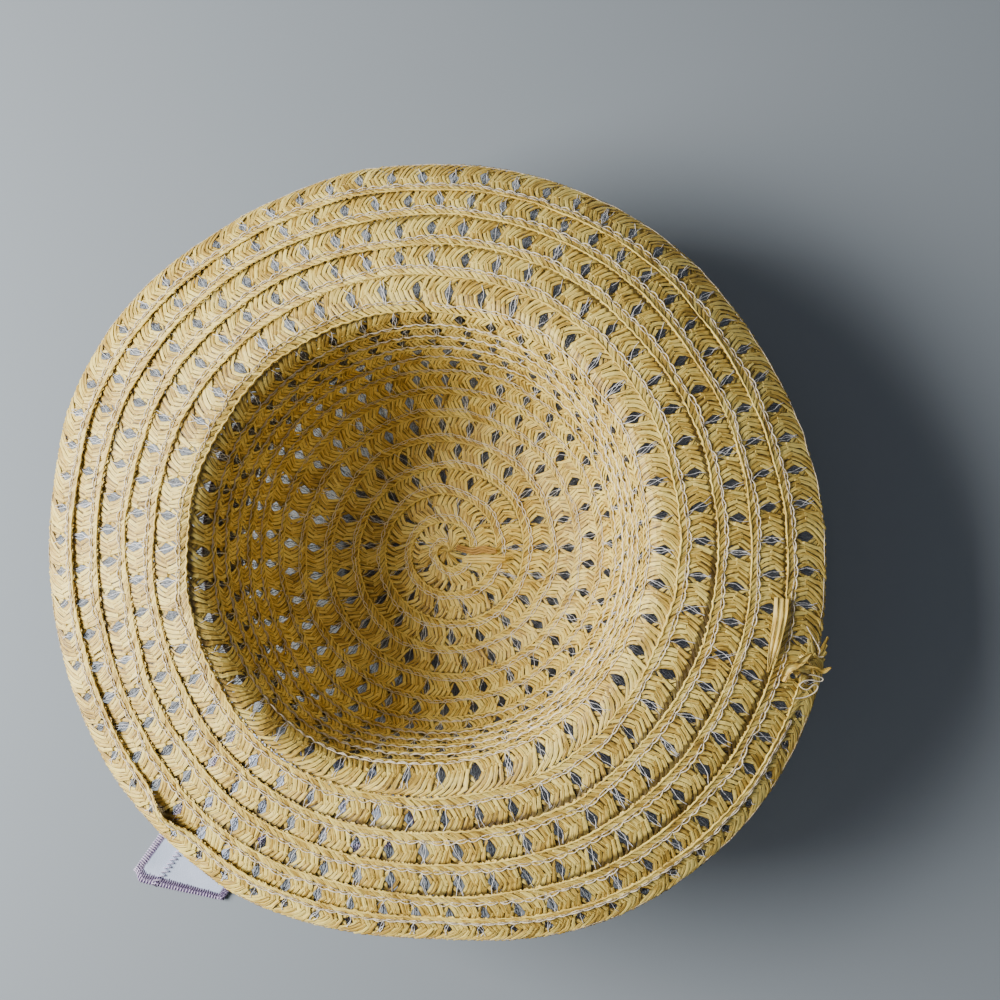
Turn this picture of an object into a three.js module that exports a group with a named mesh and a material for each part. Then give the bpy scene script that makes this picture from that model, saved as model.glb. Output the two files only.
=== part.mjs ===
// Floppy straw hat for a child, lying upside down on its crown, brim up.
// One plaited paper-straw braid is sewn in a spiral from the middle of the crown to the rim, each
// round lapping over the one before it on the inside. A satin ribbon is tied round the crown.
// Millimetres, +Z up. The origin is the middle of the crown's flat outer face, on the floor.
// Angles are in degrees about +Z from +X.
import * as THREE from "three";

// Straw wall
const STRAW_WALL = 2.0; // plaited braid with its lap
const ROW_PITCH = 11.6; // visible width of one round of braid
const LAP_LOW = -0.3; // inner face just before a lap, against half the wall
const LAP_HIGH = 0.7; // inner face on the raised edge of a round
const LAP_RUN = 0.6; // length over which a lap rises
const RIB_HEIGHT = 0.4; // ridge that a lap makes on the outside of the crown
const GAP = 0.3; // clearance between neighbouring pieces
const AXIS_RADIUS = 0.01; // profiles start this near the axis, and are closed on it

// Crown, measured on the middle of the wall
const TIP_RADIUS = 38; // flat disc that the hat rests on
const CORNER_RADIUS = 37; // turn from the tip into the side
const SIDE_LEAN = THREE.MathUtils.degToRad(84.7); // side's angle from the floor
const SIDE_LENGTH = 42.8;
const FOLD_RADIUS = 8; // turn from the side into the brim, at the head opening
const CORNER_END = TIP_RADIUS + CORNER_RADIUS * SIDE_LEAN;
const SIDE_END = CORNER_END + SIDE_LENGTH;
const CROWN_END = SIDE_END + FOLD_RADIUS * SIDE_LEAN;
const SIDE_OUT = { from: 60, full: 115 }; // length along the wall over which the side is pushed out

// How the brim hangs, every 30 degrees round
const RIM_COLUMNS = { sideOut: 0, midHeight: 1, rimRadius: 2, rimHeight: 3 };
const RIM = [
  // side pushed out, height at mid brim, rim radius, rim height
  [-0.3, 82.6, 143.4, 75.7],
  [0.3, 82.0, 142.0, 70.6],
  [2.3, 81.6, 144.3, 67.7],
  [2.5, 79.6, 145.7, 65.5],
  [2.3, 80.2, 145.6, 65.9],
  [1.5, 80.2, 146.7, 70.4],
  [0.8, 79.6, 141.4, 70.8],
  [1.5, 78.4, 141.8, 71.5],
  [4.0, 79.0, 142.7, 71.4],
  [0.8, 80.6, 140.0, 72.6],
  [1.5, 84.3, 146.8, 76.6],
  [0.6, 85.0, 148.2, 77.5],
];
const MID_BRIM = 0.45; // where midHeight is measured, from the fold (0) to the rim (1)
const BRIM_START = 0.012; // share at which the brim clears the crown's edge
const BRIM_ROUNDS = 5;
const BRIM_LAP_RUN = 0.01; // share of the brim over which a lap rises

// Last stretch of braid, doubled on the round before it
const EDGE_BRAID = {
  start: 165,
  end: 343,
  width: 12.5,
  thickness: 1.4,
  fromRim: 0.6,
  lift: 0.75,
  rimShoulder: 0.7, // share of the thickness left at the rim
  innerShoulder: 0.8,
};

// Satin ribbon round the crown
const RIBBON = { width: 38, thickness: 1.0, sideStart: 97.5 };
const KNOT = { angle: 231, alongSide: 22, size: [10, 20, 22], out: 8 };
// A tail's route: how far out from the knot, and height of its underside, with its half width
const TAIL_COLUMNS = { out: 0, height: 1, halfWidth: 2 };
const SLANT_POWER = 4; // how late along a tail its stations turn to the slant of its cut
const LONG_TAIL = {
  start: [-59.1, -65.2],
  direction: 235,
  slant: 8.9,
  route: [
    [0, 44.4, 6],
    [0.5, 36, 6.5],
    [3, 23, 8],
    [9, 11, 10],
    [18, 3.6, 13],
    [30, 0.6, 17],
    [44, 0.4, 19],
    [60, 1.6, 19],
    [76, 0.5, 19],
    [97, 0.4, 19],
  ],
};
const SHORT_TAIL = {
  start: [-50.0, -75.0],
  direction: 295,
  slant: -6,
  route: [
    [0, 49.6, 6],
    [0.5, 36, 6.5],
    [3, 23, 8],
    [9, 11, 10],
    [18, 3.4, 13],
    [30, 0.5, 17],
    [42, 1.0, 19],
    [56, 0.4, 19],
  ],
};

// Loose flat ends of paper straw: x, y, lift off the straw below and half width, along each end
const LOOSE_COLUMNS = { x: 0, y: 1, lift: 2, halfWidth: 3 };
const LOOSE_THICKNESS = 0.8;
const LOOSE_ENDS = {
  start_straw: {
    on: "tip",
    route: [
      [4, 1.5, -0.4, 1.6],
      [8, 0.6, -0.1, 1.8],
      [17, -3.6, 0.2, 1.9],
      [26, -7.6, 0, 1.2],
    ],
  },
  start_straw_2: {
    on: "tip",
    route: [
      [4, -4.5, -0.5, 1.2],
      [9, -4.6, 0.8, 1.5],
      [18, -4.0, 1.9, 1.7],
      [27.5, -2.6, 0.6, 1.6],
    ],
  },
  loose_straw: {
    on: "brim",
    route: [
      [126.5, -20.5, 0, 2.2],
      [125.4, -28, 0.5, 2.6],
      [123, -37, 1.0, 2.0],
      [120.4, -45, 0.5, 0.8],
    ],
  },
  frayed_end: {
    on: "brim",
    route: [
      [126.8, -42.2, 1.5, 2.2],
      [130.5, -43.4, 2.2, 3.6],
      [135, -44.8, 3.5, 4.2],
      [139.2, -46.4, 2.9, 3.4],
      [143, -47.6, 2.2, 2.2],
    ],
  },
};

// Facets: round the hat, and across each bend
const CROWN_SEGMENTS = 48;
const BRIM_SEGMENTS = 72;
const EDGE_SEGMENTS = 36;
const CORNER_FACETS = 6;
const FOLD_FACETS = 2;
const SHEET_FACETS = 4; // across the brim's underside and the hatband
const KNOT_FACETS = [16, 10];
const LOOSE_SEGMENTS = 8;

const DEGREE = Math.PI / 180;
const STEP = 1e-3; // for slopes
const NO_LENGTH = 1e-4; // a triangle side shorter than this is left out

// One column of the rim table at any angle, smooth and closed round the hat.
function rim(column, angle) {
  const count = RIM.length;
  const place = ((((angle / 360) % 1) + 1) % 1) * count;
  const row = Math.floor(place);
  const t = place - row;
  const [a, b, c, d] = [-1, 0, 1, 2].map((k) => RIM[(row + k + count) % count][column]);
  return b + 0.5 * t * (c - a + t * (2 * a - 5 * b + 4 * c - d + t * (3 * (b - c) + d - a)));
}

// Middle of the crown's wall, as radius and height, at a length along the wall from the tip's middle.
function crownMiddle(length) {
  const height = STRAW_WALL / 2;
  if (length <= TIP_RADIUS) return [length, height];
  const turned = Math.min((length - TIP_RADIUS) / CORNER_RADIUS, SIDE_LEAN);
  const radius = TIP_RADIUS + CORNER_RADIUS * Math.sin(turned);
  const rise = height + CORNER_RADIUS * (1 - Math.cos(turned));
  if (length <= CORNER_END) return [radius, rise];
  const up = Math.min(length, SIDE_END) - CORNER_END;
  const sideRadius = radius + up * Math.cos(SIDE_LEAN);
  const sideHeight = rise + up * Math.sin(SIDE_LEAN);
  const left = SIDE_LEAN - Math.max(0, length - SIDE_END) / FOLD_RADIUS;
  return [
    sideRadius + FOLD_RADIUS * (Math.sin(SIDE_LEAN) - Math.sin(left)),
    sideHeight + FOLD_RADIUS * (Math.cos(left) - Math.cos(SIDE_LEAN)),
  ];
}

// The same at an angle: the side is pushed out a little, more where it nears the opening.
function crownAt(length, angle) {
  const [radius, height] = crownMiddle(length);
  const share = THREE.MathUtils.smoothstep(length, SIDE_OUT.from, SIDE_OUT.full);
  return [radius + share * rim(RIM_COLUMNS.sideOut, angle), height];
}

// Middle of the brim's wall; share runs from 0 at the fold to 1 at the rim.
function brimAt(share, angle) {
  const [foldRadius, foldHeight] = crownAt(CROWN_END, angle);
  const radius = THREE.MathUtils.lerp(foldRadius, rim(RIM_COLUMNS.rimRadius, angle), share);
  const toMid = rim(RIM_COLUMNS.midHeight, angle) - foldHeight;
  const toRim = rim(RIM_COLUMNS.rimHeight, angle) - foldHeight;
  const bend = (toMid / MID_BRIM - toRim) / (MID_BRIM - 1);
  return [radius, foldHeight + (toRim - bend) * share + bend * share * share];
}

// A point off the wall's middle; a positive offset is towards the inside, or the brim's upper face.
function offWall(middle, place, angle, offset) {
  const [r0, z0] = middle(place - STEP, angle);
  const [r1, z1] = middle(place + STEP, angle);
  const length = Math.hypot(r1 - r0, z1 - z0);
  const radius = (r0 + r1) / 2 - (offset * (z1 - z0)) / length;
  const height = (z0 + z1) / 2 + (offset * (r1 - r0)) / length;
  return new THREE.Vector3(radius * Math.cos(angle * DEGREE), radius * Math.sin(angle * DEGREE), height);
}

// Joins sections of equally many points into a closed surface. Sections run round a ring, or along
// a strip whose two ends are capped; a section is a closed loop, or runs from axis to axis.
function loft(sections, { ring = false, loop = true } = {}) {
  const size = sections[0].length;
  const points = sections.flat();
  const faces = [];
  const triangle = (a, b, c) => {
    const sides = [[a, b], [b, c], [c, a]];
    if (sides.every(([p, q]) => points[p].distanceTo(points[q]) > NO_LENGTH)) faces.push(a, b, c);
  };
  const lastSection = ring ? sections.length : sections.length - 1;
  const lastPoint = loop ? size : size - 1;
  for (let i = 0; i < lastSection; i++) {
    for (let j = 0; j < lastPoint; j++) {
      const a = i * size + j;
      const b = i * size + ((j + 1) % size);
      const c = ((i + 1) % sections.length) * size + j;
      const d = ((i + 1) % sections.length) * size + ((j + 1) % size);
      triangle(a, c, b);
      triangle(b, c, d);
    }
  }
  if (!ring) {
    const last = (sections.length - 1) * size;
    for (let j = 1; j < size - 1; j++) {
      triangle(0, j, j + 1);
      triangle(last, last + j + 1, last + j);
    }
  }
  return new THREE.BufferGeometry().setFromPoints(points).setIndex(faces);
}

// Angles of the sections round the hat.
function angles(count) {
  return Array.from({ length: count }, (_, i) => (360 * i) / count);
}

// Places from one end of a bend or sheet to the other, both ends included.
function places(from, to, facets) {
  return Array.from({ length: facets + 1 }, (_, i) => THREE.MathUtils.lerp(from, to, i / facets));
}

// Offsets of the lapped inner face: each round starts on a raised edge and sinks towards the next.
function lappedFace(from, to, pitch, run) {
  const stations = [];
  for (let edge = Math.ceil(from / pitch) * pitch; edge < to - run; edge += pitch) {
    if (edge - run > from) stations.push([edge - run, STRAW_WALL / 2 + LAP_LOW]);
    if (edge > from) stations.push([edge, STRAW_WALL / 2 + LAP_HIGH]);
  }
  return stations;
}

// Hollow crown: the flat tip that the hat stands on, the round corner, the side and the fold.
function crown() {
  const face = -STRAW_WALL / 2;
  const corner = places(TIP_RADIUS, CORNER_END, CORNER_FACETS).slice(0, -1);
  const outer = [AXIS_RADIUS, ...corner].map((length) => [length, face]);
  for (let edge = CORNER_END; edge < SIDE_END; edge += ROW_PITCH) {
    outer.push([edge, face - RIB_HEIGHT], [edge + LAP_RUN, face]);
  }
  outer.push(...places(SIDE_END, CROWN_END, FOLD_FACETS).map((length) => [length, face]));
  const inner = [
    [AXIS_RADIUS, STRAW_WALL / 2 + LAP_HIGH / 2],
    ...lappedFace(AXIS_RADIUS, CROWN_END, ROW_PITCH, LAP_RUN),
    [CROWN_END, STRAW_WALL / 2],
  ];
  const profile = [...outer, ...inner.reverse()];
  const sections = angles(CROWN_SEGMENTS).map((angle) =>
    profile.map(([length, offset]) => {
      const point = offWall(crownAt, length, angle, offset);
      return length === AXIS_RADIUS ? new THREE.Vector3(0, 0, point.z) : point;
    }),
  );
  return loft(sections, { ring: true, loop: false });
}

// Drooping brim, lapped on its upper face.
function brim() {
  const upper = [
    [BRIM_START, STRAW_WALL / 2],
    ...lappedFace(BRIM_START, 1, 1 / BRIM_ROUNDS, BRIM_LAP_RUN),
    [1, STRAW_WALL / 2],
  ];
  const lower = places(BRIM_START, 1, SHEET_FACETS).map((share) => [share, -STRAW_WALL / 2]);
  const profile = [...lower, ...upper.reverse()];
  const sections = angles(BRIM_SEGMENTS).map((angle) =>
    profile.map(([share, offset]) => offWall(brimAt, share, angle, offset)),
  );
  return loft(sections, { ring: true });
}

// The braid's last half round, doubled on top of the brim at the rim.
function edgeBraid() {
  const { start, end, width, thickness, fromRim, lift, rimShoulder, innerShoulder } = EDGE_BRAID;
  const below = STRAW_WALL / 2 + lift + GAP;
  const sections = places(start, end, EDGE_SEGMENTS).map((angle) => {
    const [foldRadius] = brimAt(0, angle);
    const [rimRadius] = brimAt(1, angle);
    const toShare = (inFromRim) => 1 - inFromRim / (rimRadius - foldRadius);
    return [
      offWall(brimAt, toShare(width), angle, below),
      offWall(brimAt, toShare(fromRim), angle, below),
      offWall(brimAt, toShare(fromRim), angle, below + thickness * rimShoulder),
      offWall(brimAt, toShare(width / 2), angle, below + thickness),
      offWall(brimAt, toShare(width), angle, below + thickness * innerShoulder),
    ];
  });
  return loft(sections);
}

// Ribbon wound once round the crown's side, just under the brim.
function hatband() {
  const { width, thickness, sideStart } = RIBBON;
  const inside = -(STRAW_WALL / 2 + RIB_HEIGHT + GAP);
  const heights = places(sideStart, sideStart + width, SHEET_FACETS);
  const profile = [
    ...heights.map((length) => [length, inside - thickness]),
    ...heights.reverse().map((length) => [length, inside]),
  ];
  const sections = angles(CROWN_SEGMENTS).map((angle) =>
    profile.map(([length, offset]) => offWall(crownAt, length, angle, offset)),
  );
  return loft(sections, { ring: true });
}

// Plain half knot that ties the ribbon.
function bandKnot() {
  const knot = new THREE.SphereGeometry(1 / 2, ...KNOT_FACETS);
  knot.scale(...KNOT.size);
  knot.rotateZ(KNOT.angle * DEGREE);
  const place = offWall(crownAt, CORNER_END + KNOT.alongSide, KNOT.angle, -KNOT.out);
  knot.translate(place.x, place.y, place.z);
  return knot;
}

// Ribbon tail: gathered at the knot, hanging down, then lying out on the floor with a slant cut.
function ribbonTail({ start, direction, slant, route }) {
  const out = new THREE.Vector3(Math.cos(direction * DEGREE), Math.sin(direction * DEGREE), 0);
  const across = new THREE.Vector3(-out.y, out.x, 0);
  const total = route.at(-1)[TAIL_COLUMNS.out];
  const sections = route.map((row, i) => {
    const before = route[Math.max(0, i - 1)];
    const after = route[Math.min(route.length - 1, i + 1)];
    const along = out
      .clone()
      .multiplyScalar(after[TAIL_COLUMNS.out] - before[TAIL_COLUMNS.out])
      .setZ(after[TAIL_COLUMNS.height] - before[TAIL_COLUMNS.height])
      .normalize();
    const up = new THREE.Vector3().crossVectors(along, across).multiplyScalar(RIBBON.thickness);
    const half = row[TAIL_COLUMNS.halfWidth];
    const skew = -slant * (row[TAIL_COLUMNS.out] / total) ** SLANT_POWER;
    const corner = (side, lift) =>
      new THREE.Vector3(start[0], start[1], row[TAIL_COLUMNS.height])
        .addScaledVector(out, row[TAIL_COLUMNS.out] + side * skew)
        .addScaledVector(across, side * half)
        .addScaledVector(up, lift);
    return [corner(-1, 0), corner(-1, 1), corner(1, 1), corner(1, 0)];
  });
  return loft(sections);
}

// Height of the straw's upper face under a point of the floor plan.
function strawTop(on, x, y) {
  if (on === "tip") return STRAW_WALL + LAP_HIGH;
  const angle = Math.atan2(y, x) / DEGREE;
  const [foldRadius] = brimAt(0, angle);
  const [rimRadius] = brimAt(1, angle);
  const share = (Math.hypot(x, y) - foldRadius) / (rimRadius - foldRadius);
  return offWall(brimAt, share, angle, STRAW_WALL / 2 + LAP_HIGH).z;
}

// Flat end of paper straw lying on the straw below.
function looseEnd({ on, route }) {
  const curve = new THREE.CatmullRomCurve3(
    route.map(([x, y, lift]) => new THREE.Vector3(x, y, strawTop(on, x, y) + GAP + lift)),
  );
  const sections = places(0, 1, LOOSE_SEGMENTS).map((t) => {
    const place = t * (route.length - 1);
    const row = Math.min(route.length - 2, Math.floor(place));
    const [halfHere, halfNext] = [route[row], route[row + 1]].map((r) => r[LOOSE_COLUMNS.halfWidth]);
    const half = THREE.MathUtils.lerp(halfHere, halfNext, place - row);
    const point = curve.getPoint(t);
    const along = curve.getTangent(t);
    const across = new THREE.Vector3(-along.y, along.x, 0).normalize().multiplyScalar(half);
    const up = new THREE.Vector3(0, 0, LOOSE_THICKNESS);
    return [
      point.clone().sub(across),
      point.clone().sub(across).add(up),
      point.clone().add(across).add(up),
      point.clone().add(across),
    ];
  });
  return loft(sections);
}

const straw = { color: 0xdcb565, roughness: 0.62, metalness: 0, side: THREE.DoubleSide };
const satin = { color: 0xe4e4ee, roughness: 0.35, metalness: 0, side: THREE.DoubleSide };

function mesh(name, geometry, finish) {
  const made = new THREE.Mesh(geometry, new THREE.MeshStandardMaterial(finish));
  geometry.computeVertexNormals();
  made.name = name;
  return made;
}

const hat = new THREE.Group();
hat.name = "floppy_straw_hat";
hat.add(mesh("crown", crown(), straw));
hat.add(mesh("brim", brim(), straw));
hat.add(mesh("edge_braid", edgeBraid(), straw));
for (const [name, end] of Object.entries(LOOSE_ENDS)) hat.add(mesh(name, looseEnd(end), straw));
hat.add(mesh("hatband", hatband(), satin));
hat.add(mesh("band_knot", bandKnot(), satin));
hat.add(mesh("ribbon_tail_long", ribbonTail(LONG_TAIL), satin));
hat.add(mesh("ribbon_tail_short", ribbonTail(SHORT_TAIL), satin));

export default hat;
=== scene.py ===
import math
from functools import partial

import bmesh
import bpy
import numpy as np
from bpy.props import FloatProperty, PointerProperty, StringProperty
from mathutils import Matrix


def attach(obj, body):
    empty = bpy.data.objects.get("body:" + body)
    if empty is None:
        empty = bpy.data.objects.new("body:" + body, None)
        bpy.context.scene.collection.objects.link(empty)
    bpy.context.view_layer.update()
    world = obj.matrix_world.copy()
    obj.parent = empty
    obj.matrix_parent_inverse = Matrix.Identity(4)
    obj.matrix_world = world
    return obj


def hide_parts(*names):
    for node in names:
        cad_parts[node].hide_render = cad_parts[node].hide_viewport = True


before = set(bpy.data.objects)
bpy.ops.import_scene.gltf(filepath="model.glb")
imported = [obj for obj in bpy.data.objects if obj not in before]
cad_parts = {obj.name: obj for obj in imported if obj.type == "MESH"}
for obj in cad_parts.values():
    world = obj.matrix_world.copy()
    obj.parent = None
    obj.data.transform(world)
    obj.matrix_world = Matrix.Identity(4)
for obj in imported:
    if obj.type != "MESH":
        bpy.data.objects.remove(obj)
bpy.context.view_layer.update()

bl_info = {
    "name": "Floppy straw hat",
    "version": (1, 0, 0),
    "blender": (4, 5, 0),
    "location": "View3D > Sidebar > Straw hat",
    "description": "Dresses the solids of a child's straw hat with plaited braid, thread and satin ribbon",
    "category": "Add Mesh",
}

# The hat lies upside down on its crown. The origin is the middle of the crown's outer face, +Z is up,
# and angles are degrees about +Z from +X. Sizes inside this file are millimetres; a mesh is in metres.
MM = 0.001

# Wall of the hat, as its solids have it, measured on the middle of the wall.
STRAW_WALL = 2.0
TIP_RADIUS = 38.0
CORNER_RADIUS = 37.0
SIDE_LEAN = math.radians(84.7)
SIDE_LENGTH = 42.8
FOLD_RADIUS = 8.0
CORNER_END = TIP_RADIUS + CORNER_RADIUS * SIDE_LEAN
SIDE_END = CORNER_END + SIDE_LENGTH
CROWN_END = SIDE_END + FOLD_RADIUS * SIDE_LEAN
SIDE_OUT_FROM, SIDE_OUT_FULL = 60.0, 115.0
MID_BRIM = 0.45
# Every 30 degrees: side pushed out, height at mid brim, rim radius, rim height.
RIM = np.array([
    [-0.3, 82.6, 143.4, 75.7],
    [0.3, 82.0, 142.0, 70.6],
    [2.3, 81.6, 144.3, 67.7],
    [2.5, 79.6, 145.7, 65.5],
    [2.3, 80.2, 145.6, 65.9],
    [1.5, 80.2, 146.7, 70.4],
    [0.8, 79.6, 141.4, 70.8],
    [1.5, 78.4, 141.8, 71.5],
    [4.0, 79.0, 142.7, 71.4],
    [0.8, 80.6, 140.0, 72.6],
    [1.5, 84.3, 146.8, 76.6],
    [0.6, 85.0, 148.2, 77.5],
])
SIDE_OUT, MID_HEIGHT, RIM_RADIUS, RIM_HEIGHT = range(4)

# The braid's spiral. A turn is one round; its sewing line stands on the wall at a length from the
# middle of the tip, and past the fold at a share of the brim.
TURN_AT_ANGLE_ZERO = 0.47
TURN_OF_CENTRE = 0.404
FIRST_TURN, SIDE_TURN, BRIM_TURN = -0.25, 8.9, 12.72
OUTER_TURN, EDGE_TURN, LAST_TURN = 14.95, 16.92, 17.42
BRIM_TURNS = [
    12.6, 12.97, 13.22, 13.47, 13.97, 14.47, 14.97, 15.47, 15.97, 16.47, 16.97, 17.22, 17.42
]
BRIM_SHARES = [0, 0.035, 0.085, 0.114, 0.235, 0.342, 0.443, 0.56, 0.655, 0.772, 0.85, 0.893, 0.925]
# Rounds lie a little further in or out at some sides of the brim: angle, share.
BRIM_DRIFT = [[0, 0], [90, -0.022], [180, 0], [270, 0.035], [330, -0.012], [360, 0]]
DRIFT_TURNS = (13.0, 13.6, 16.6, 17.1)  # drift sets in over the first two turns, and ends over the others
LIFT_ON_EDGE = 0.9  # last half round, doubled on the round before it
ROW_LIFT = 0.3  # the braid's middle above the middle of the wall
# Place where the edge isn't sewn down.
POCKET = {"angle": 227.0, "spread": 3.2, "lift": 3.4, "slide": 2.2}

# The plait. A period holds five straws and a bundle of thread each way. Where two bundles cross, on the
# centreline, the straws leave a window; past its corners they close up and run slantingly to the edge.
STITCH_TO_CENTRE = 4.5  # sewing line to the braid's centreline
PERIOD = 12.0
STRAWS = 5
# From the centreline outward: across, and where the five straws of a period begin and end along.
FAN_ACROSS = [0.0, 1.6, 3.3, 5.2, 7.5]
FAN_BEGIN = [1.85, 1.05, -0.15, -2.8, -6.0]
FAN_END = [10.15, 9.9, 9.5, 9.2, 6.0]
FULLY_SHUT = 0.42  # share of a window that its straws cover from each side when it is drawn shut
SHUT = (-0.3, 0.1)  # how far windows are drawn shut, from the widest to the narrowest
TIGHT_TURNS = (1.2, 3.2)  # windows of the first rounds are drawn tighter, which ends over these turns
TIGHT_SHARE = 0.75
ROUTE = np.array([-7.5, -7.1, -5.2, -3.3, -1.6, 0.4, 1.1, 4.0, 7.5])  # stations of a straw, across
ON_TOP = ROUTE < 0.7
DIVING = np.abs(ROUTE - 0.75) < 0.4  # the two stations between which a straw goes under
DIVE = (-0.7, 0.9)  # how far they are moved across
LAYER = 0.25  # a yarn's middle above or below the braid's middle
STRAW_HALF = 0.09  # half the thickness of a flat straw
INTERLOCK, INTERLOCK_REACH = 0.37, 2.5  # how far straws shift along to pass between each other there
PUFF = 0.22  # how far the straws between two windows bulge
CORNER_FILL, CORNER_ACROSS = 0.3, 3.3
STRAW_ROLL = (0.05, 0.07)  # mean and scatter of a straw's roll about its own length, in radians
# Scatter of the straws: along, at their folds and off their layer in mm, and as a share of their width.
ALONG_SCATTER, FOLD_SCATTER, LAYER_SCATTER, WIDTH_SCATTER = 0.11, 0.14, 0.03, 0.06
EDGE_NARROWING = 0.3  # a straw is narrower by this share at its folds

THREADS = (-0.95, 0.0, 0.95)  # threads of a bundle, spread along at the window
THREAD_ROUTE = np.array([-5.5, -4.3, -2.2, 0.0, 2.2, 4.3, 5.5])
# Across from the window's middle, and how far the threads run ahead along: they cross it slantingly.
LEAD_ACROSS, THREAD_LEAD = [0, 1, 2.8, 5], [0, 0.45, 0.3, -0.1]
GATHERED = 0.8  # share of their spread that threads lose outside the window
UPPER_SHARE = 0.3  # share of the threads that lie over the straws and stray there
UPPER_RISE, THREAD_CROSSING = 0.26, 0.1
THREAD_HALF, UPPER_THINNER = 0.16, 0.04
THREAD_SCATTER, STRAY = 0.12, 0.22
WINDOW_STATION = 3  # station of a thread in the middle of its window
# Tones of the plaiting threads. Those under the straws are painted dark: painted shade seen in the windows.
# All are darker on one side of the hat: painted shade.
UPPER_TONE, LOWER_TONE, SHADED_SIDE_TONE = 0.75, -0.25, 0.3

STITCH = 4.5  # one link of the chain stitch
STITCH_POINTS = 5  # points that draw a link
STITCH_HALF, STITCH_WANDER = 0.2, 0.35
STITCH_GAP, STITCH_OPEN = 0.16, 0.4  # strands of a link from its middle, at a hole and beyond that between
STITCH_RISE, STITCH_BOW = LAYER + 0.2, 0.36  # their height likewise
PIPING = 7.15  # the rolled inner edge, from the centreline
PIPING_HALF, PIPING_TONE = 0.36, 0.7
RIM_THREAD_INSET, RIM_THREAD_HALF, RIM_THREAD_STEP = 0.45, 0.15, 1.5
# Ends of the straws in the middle of the tip: distance from it, turn about it, height and half width.
START_ENDS = np.array([
    [0.15, 0, 0.15, 0.25],
    [2.0, 14, 0.3, 0.6],
    [5.0, 22, 0.1, 0.85],
    [9.5, 26, -0.5, 0.9],
])
START_COUNT, START_HALF = 26, 0.1
# Painted shade where a round goes under the next one, heavier towards one side of the hat. The direction
# in which it gets heavier, from where to where, and its least share.
SHADE_AHEAD, SHADE_ASIDE, SHADE_LIGHTEST, SHADE_HEAVIEST = 0.6, -0.8, -70.0, 40.0
LEAST_SIDE_SHADE = 0.55
GROOVE_SHADE_FROM, GROOVE_SHADE_FULL = 3.9, 5.0  # across from the centreline, where the painted groove shade sets in and is full
NEAR_GROOVE, NEAR_FROM, NEAR_FULL = 1.12, 40.0, 100.0  # how much nearer on the -Y side, and where
# Turns between which rounds lie open at the fold, and over how many mm their grooves fade there.
FOLD_TURNS, FOLD_FADE, RIM_FADE = (12.0, 13.05), 30.0, 15.0


def smoothstep(x, low, high):
    t = np.clip((x - low) / (high - low), 0, 1)
    return t * t * (3 - 2 * t)


def smooth_curve(a, b, c, d, t):
    """From b to c, on a curve that runs smoothly on through a and d."""
    return b + 0.5 * t * (c - a + t * (2 * a - 5 * b + 4 * c - d + t * (3 * (b - c) + d - a)))


def around(column, angle):
    """A column of the rim table at any angles, smooth and closed round the hat."""
    values = RIM[:, column]
    place = (np.asarray(angle) / 360) % 1 * len(values)
    row = np.floor(place).astype(int)
    return smooth_curve(*(values[(row + k) % len(values)] for k in (-1, 0, 1, 2)), place - row)


def crown_wall(length, angle):
    """Radius and height of the crown's wall middle."""
    length = np.clip(length, 0, CROWN_END)
    turned = np.clip((length - TIP_RADIUS) / CORNER_RADIUS, 0, SIDE_LEAN)
    up = np.clip(length, CORNER_END, SIDE_END) - CORNER_END
    left = SIDE_LEAN - np.maximum(0, length - SIDE_END) / FOLD_RADIUS
    radius = (
        np.minimum(length, TIP_RADIUS)
        + CORNER_RADIUS * np.sin(turned)
        + up * math.cos(SIDE_LEAN)
        + FOLD_RADIUS * (math.sin(SIDE_LEAN) - np.sin(left))
    )
    height = (
        STRAW_WALL / 2
        + CORNER_RADIUS * (1 - np.cos(turned))
        + up * math.sin(SIDE_LEAN)
        + FOLD_RADIUS * (np.cos(left) - math.cos(SIDE_LEAN))
    )
    return radius + smoothstep(length, SIDE_OUT_FROM, SIDE_OUT_FULL) * around(SIDE_OUT, angle), height


def brim_width(angle):
    """Length of the brim's wall from the fold to the rim."""
    radius, height = crown_wall(np.full(np.shape(angle), CROWN_END), angle)
    rim_radius = around(RIM_RADIUS, angle)
    mid_radius = radius + MID_BRIM * (rim_radius - radius)
    inner = np.hypot(mid_radius - radius, around(MID_HEIGHT, angle) - height)
    return inner + np.hypot(rim_radius - mid_radius, around(RIM_HEIGHT, angle) - around(MID_HEIGHT, angle))


def wall(place, angle):
    """Radius and height of the wall's middle: place runs over the crown and on over the brim, in mm."""
    radius, height = crown_wall(place, angle)
    share = np.maximum(0, place - CROWN_END) / brim_width(angle)
    to_mid = around(MID_HEIGHT, angle) - height
    to_rim = around(RIM_HEIGHT, angle) - height
    bend = (to_mid / MID_BRIM - to_rim) / (MID_BRIM - 1)
    on_brim = share > 0
    radius = np.where(on_brim, radius + (around(RIM_RADIUS, angle) - radius) * share, radius)
    return radius, np.where(on_brim, height + (to_rim - bend) * share + bend * share * share, height)


def wall_point(place, angle, offset):
    """Points off the wall's middle, in mm, and the wall's normals, which point into the hat."""
    step = 0.8
    angle = np.asarray(angle, float)
    r0, z0 = wall(np.maximum(place - step, 0), angle)
    r1, z1 = wall(place + step, angle)
    radius, height = wall(place, angle)
    length = np.maximum(np.hypot(r1 - r0, z1 - z0), 1e-6)
    normal_out, normal_up = -(z1 - z0) / length, (r1 - r0) / length
    turn = np.radians(angle)
    flat = radius + offset * normal_out
    points = np.stack([flat * np.cos(turn), flat * np.sin(turn), height + offset * normal_up], -1)
    normals = np.stack([normal_out * np.cos(turn), normal_out * np.sin(turn), normal_up], -1)
    return points, normals


def smooth_noise(rng, count, spread):
    """Smooth unevenness of about unit size."""
    kernel = np.hanning(2 * spread + 3)
    kernel = kernel / np.sqrt((kernel**2).sum())
    return np.convolve(rng.normal(0, 1, count + len(kernel)), kernel, "same")[:count]


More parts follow.
